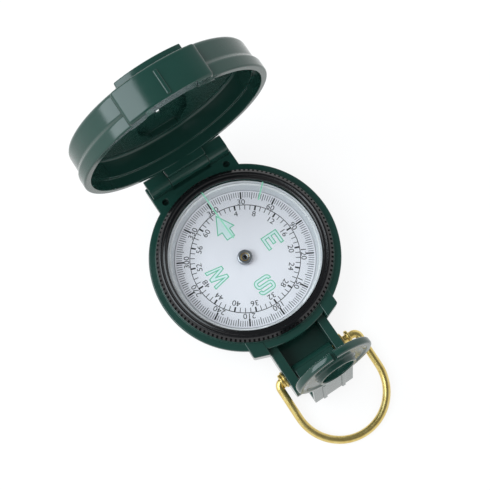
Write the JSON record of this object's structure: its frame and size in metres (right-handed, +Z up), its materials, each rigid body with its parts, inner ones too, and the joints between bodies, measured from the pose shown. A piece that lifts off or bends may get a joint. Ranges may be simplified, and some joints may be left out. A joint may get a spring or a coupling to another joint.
{
  "type": "lensatic compass",
  "caption": "Folding lensatic compass: liquid capsule with turning dial, toothed turning bezel, deep hinged sighting cover, hinged magnifier bracket and wire thumb loop.",
  "frame": {"origin": "centre of the flat bottom of the case", "axes": "+X along the cover hinge, +Y from the dial centre to the cover hinge, +Z up out of the dial"},
  "size_m": [0.0564, 0.1064, 0.0746],
  "materials": {
    "green_plastic": "dark green moulded plastic, satin gloss",
    "black_plastic": "black moulded plastic, glossy",
    "white_plastic": "white moulded plastic",
    "clear_plastic": "clear polished plastic",
    "dial_face": "white printed card",
    "magnet_steel": "dark magnet steel",
    "steel": "plain steel",
    "brass": "polished yellow brass",
    "rubber": "black rubber",
    "silicone": "white silicone rubber",
    "jewel": "dark polished jewel"
  },
  "bodies": {
    "case": {"case_body": "green_plastic", "cover_hinge_pin": "steel", "capsule_bowl": "white_plastic", "capsule_seal": "silicone", "capsule_lens": "clear_plastic", "fill_plug": "rubber", "pivot_post": "brass", "pivot_pin": "steel", "bezel_snap_ring": "steel", "bezel_click_spring": "steel", "bail_eyelet_left": "brass", "bail_eyelet_right": "brass"},
    "cover": {"cover_shell": "green_plastic"},
    "bracket": {"lens_bracket": "green_plastic", "magnifier_lens": "clear_plastic", "lens_retainer": "black_plastic"},
    "loop": {"thumb_loop": "brass"},
    "bezel": {"bezel_ring": "black_plastic", "bezel_crystal": "clear_plastic"},
    "dial": {"dial_card": "dial_face", "dial_magnet": "magnet_steel", "dial_hub": "steel", "jewel_setting": "brass", "jewel": "jewel"}
  },
  "joints": [
    {"name": "cover_hinge", "type": "hinge", "parent": "case", "child": "cover", "pos_m": [0, 0.031, 0.013], "axis": [-1, 0, 0], "range_deg": [-84.5, 90]},
    {"name": "bracket_hinge", "type": "hinge", "parent": "case", "child": "bracket", "pos_m": [0, -0.036, 0.0043], "axis": [1, 0, 0], "range_deg": [-81, 12]},
    {"name": "loop_swing", "type": "hinge", "parent": "case", "child": "loop", "pos_m": [0, -0.036, 0.0043], "axis": [-1, 0, 0], "range_deg": [-75, 55]},
    {"name": "bezel_turn", "type": "hinge", "parent": "case", "child": "bezel", "pos_m": [0, 0, 0.0129], "axis": [0, 0, 1], "continuous": true},
    {"name": "dial_turn", "type": "hinge", "parent": "case", "child": "dial", "pos_m": [0, 0, 0.0084], "axis": [0, 0, 1], "continuous": true}
  ]
}
